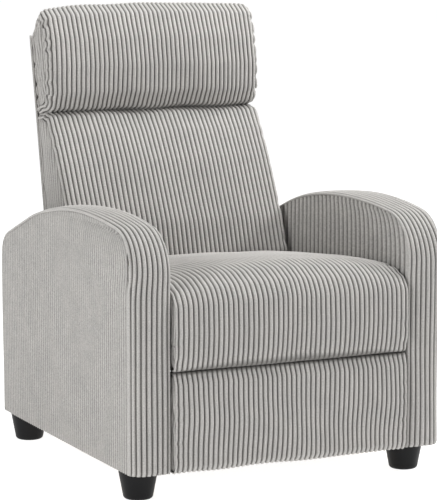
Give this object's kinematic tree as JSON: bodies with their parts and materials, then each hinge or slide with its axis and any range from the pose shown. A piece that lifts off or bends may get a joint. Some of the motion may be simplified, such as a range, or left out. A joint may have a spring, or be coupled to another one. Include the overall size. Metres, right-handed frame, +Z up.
{
  "type": "recliner armchair",
  "caption": "Upholstered armchair on short feet whose seat glides forward as the back reclines, with a footrest that folds out from under the seat.",
  "frame": {"origin": "on the floor, under the middle of the chair's bounding box", "axes": "+Z up, the chair faces -Y, +X is the sitter's left"},
  "size_m": [0.69, 0.7866, 0.9409],
  "materials": {
    "upholstery": "wide-wale corduroy, warm light grey",
    "timber": "sawn hardwood and plywood",
    "linkage": "black powder-coated steel",
    "bright_steel": "zinc-plated steel",
    "foot_plastic": "black, finely textured"
  },
  "bodies": {
    "base": {"right_arm_cover": "upholstery", "right_arm_inner_board": "timber", "right_arm_outer_board": "timber", "right_arm_bottom_rail": "timber", "left_arm_cover": "upholstery", "left_arm_inner_board": "timber", "left_arm_outer_board": "timber", "left_arm_bottom_rail": "timber", "front_right_foot": "foot_plastic", "front_left_foot": "foot_plastic", "rear_right_foot": "foot_plastic", "rear_left_foot": "foot_plastic", "foot_studs": "bright_steel", "front_stretcher": "timber", "rear_stretcher": "timber", "frame_bolts": "bright_steel", "right_base_rail": "linkage", "left_base_rail": "linkage", "base_rivets": "bright_steel"},
    "front_lift": {"front_right_lift_link": "linkage", "front_left_lift_link": "linkage"},
    "rear_lift": {"rear_right_lift_link": "linkage", "rear_left_lift_link": "linkage"},
    "seat": {"right_seat_plate": "linkage", "left_seat_plate": "linkage", "right_seat_rail": "timber", "left_seat_rail": "timber", "seat_front_rail": "timber", "seat_rear_rail": "timber", "seat_rivets": "bright_steel", "seat_springs": "bright_steel", "seat_cushion": "upholstery"},
    "backrest": {"right_back_post": "timber", "left_back_post": "timber", "right_back_bracket": "linkage", "left_back_bracket": "linkage", "back_bracket_bolts": "bright_steel", "back_bottom_rail": "timber", "back_top_rail": "timber", "back_springs": "bright_steel", "back_cushion": "upholstery", "head_cushion": "upholstery", "right_back_gusset": "upholstery", "left_back_gusset": "upholstery", "back_panel": "upholstery"},
    "crank": {"right_crank_link": "linkage", "left_crank_link": "linkage", "footrest_cross_tube": "linkage"},
    "front_swing": {"right_front_link": "linkage", "left_front_link": "linkage"},
    "lower": {"right_lower_link": "linkage", "left_lower_link": "linkage", "lower_link_rivets": "bright_steel"},
    "drive": {"right_drive_link": "linkage", "left_drive_link": "linkage", "drive_link_rivets": "bright_steel"},
    "footrest": {"footrest_board": "timber", "footrest_pad": "upholstery", "right_footrest_bracket": "linkage", "left_footrest_bracket": "linkage"}
  },
  "joints": [
    {"name": "recline", "type": "hinge", "parent": "base", "child": "front_lift", "pos_m": [0, -0.06, 0.112], "axis": [1, 0, 0], "range_deg": [0, 65]},
    {"name": "rear_lift_pivot", "type": "hinge", "parent": "base", "child": "rear_lift", "pos_m": [0, 0.13, 0.112], "axis": [1, 0, 0], "range_deg": [-0.01, 65.01]},
    {"name": "seat_glide", "type": "hinge", "parent": "front_lift", "child": "seat", "pos_m": [0, -0.01985, 0.16934], "axis": [-1, 0, 0], "range_deg": [-0.01, 65.01]},
    {"name": "back_recline", "type": "hinge", "parent": "seat", "child": "backrest", "pos_m": [0, 0.17, 0.3], "axis": [-1, 0, 0], "range_deg": [-0.01, 38.01]},
    {"name": "footrest_swing", "type": "hinge", "parent": "seat", "child": "crank", "pos_m": [0, -0.1, 0.24], "axis": [-1, 0, 0], "range_deg": [0, 115]},
    {"name": "front_link_pivot", "type": "hinge", "parent": "seat", "child": "front_swing", "pos_m": [0, -0.16416, 0.25504], "axis": [-1, 0, 0], "range_deg": [-0.01, 115.01]},
    {"name": "lower_link_pivot", "type": "hinge", "parent": "crank", "child": "lower", "pos_m": [0, -0.00536, 0.10484], "axis": [1, 0, 0], "range_deg": [-0.01, 115.01]},
    {"name": "drive_link_pivot", "type": "hinge", "parent": "crank", "child": "drive", "pos_m": [0, 0.02442, 0.12845], "axis": [1, 0, 0], "range_deg": [-0.01, 120.15]},
    {"name": "footrest_tilt", "type": "hinge", "parent": "lower", "child": "footrest", "pos_m": [0, -0.262, 0.165], "axis": [-1, 0, 0], "range_deg": [-0.01, 88.01]}
  ],
  "couplings": [
    {"joint": "rear_lift_pivot", "follows": "recline", "ratio": 1},
    {"joint": "seat_glide", "follows": "recline", "ratio": 1},
    {"joint": "back_recline", "follows": "recline", "ratio": 0.58461},
    {"joint": "front_link_pivot", "follows": "footrest_swing", "ratio": 1},
    {"joint": "lower_link_pivot", "follows": "footrest_swing", "ratio": 1},
    {"joint": "drive_link_pivot", "follows": "footrest_swing", "ratio": 1.0447},
    {"joint": "footrest_tilt", "follows": "footrest_swing", "ratio": 0.76522}
  ]
}
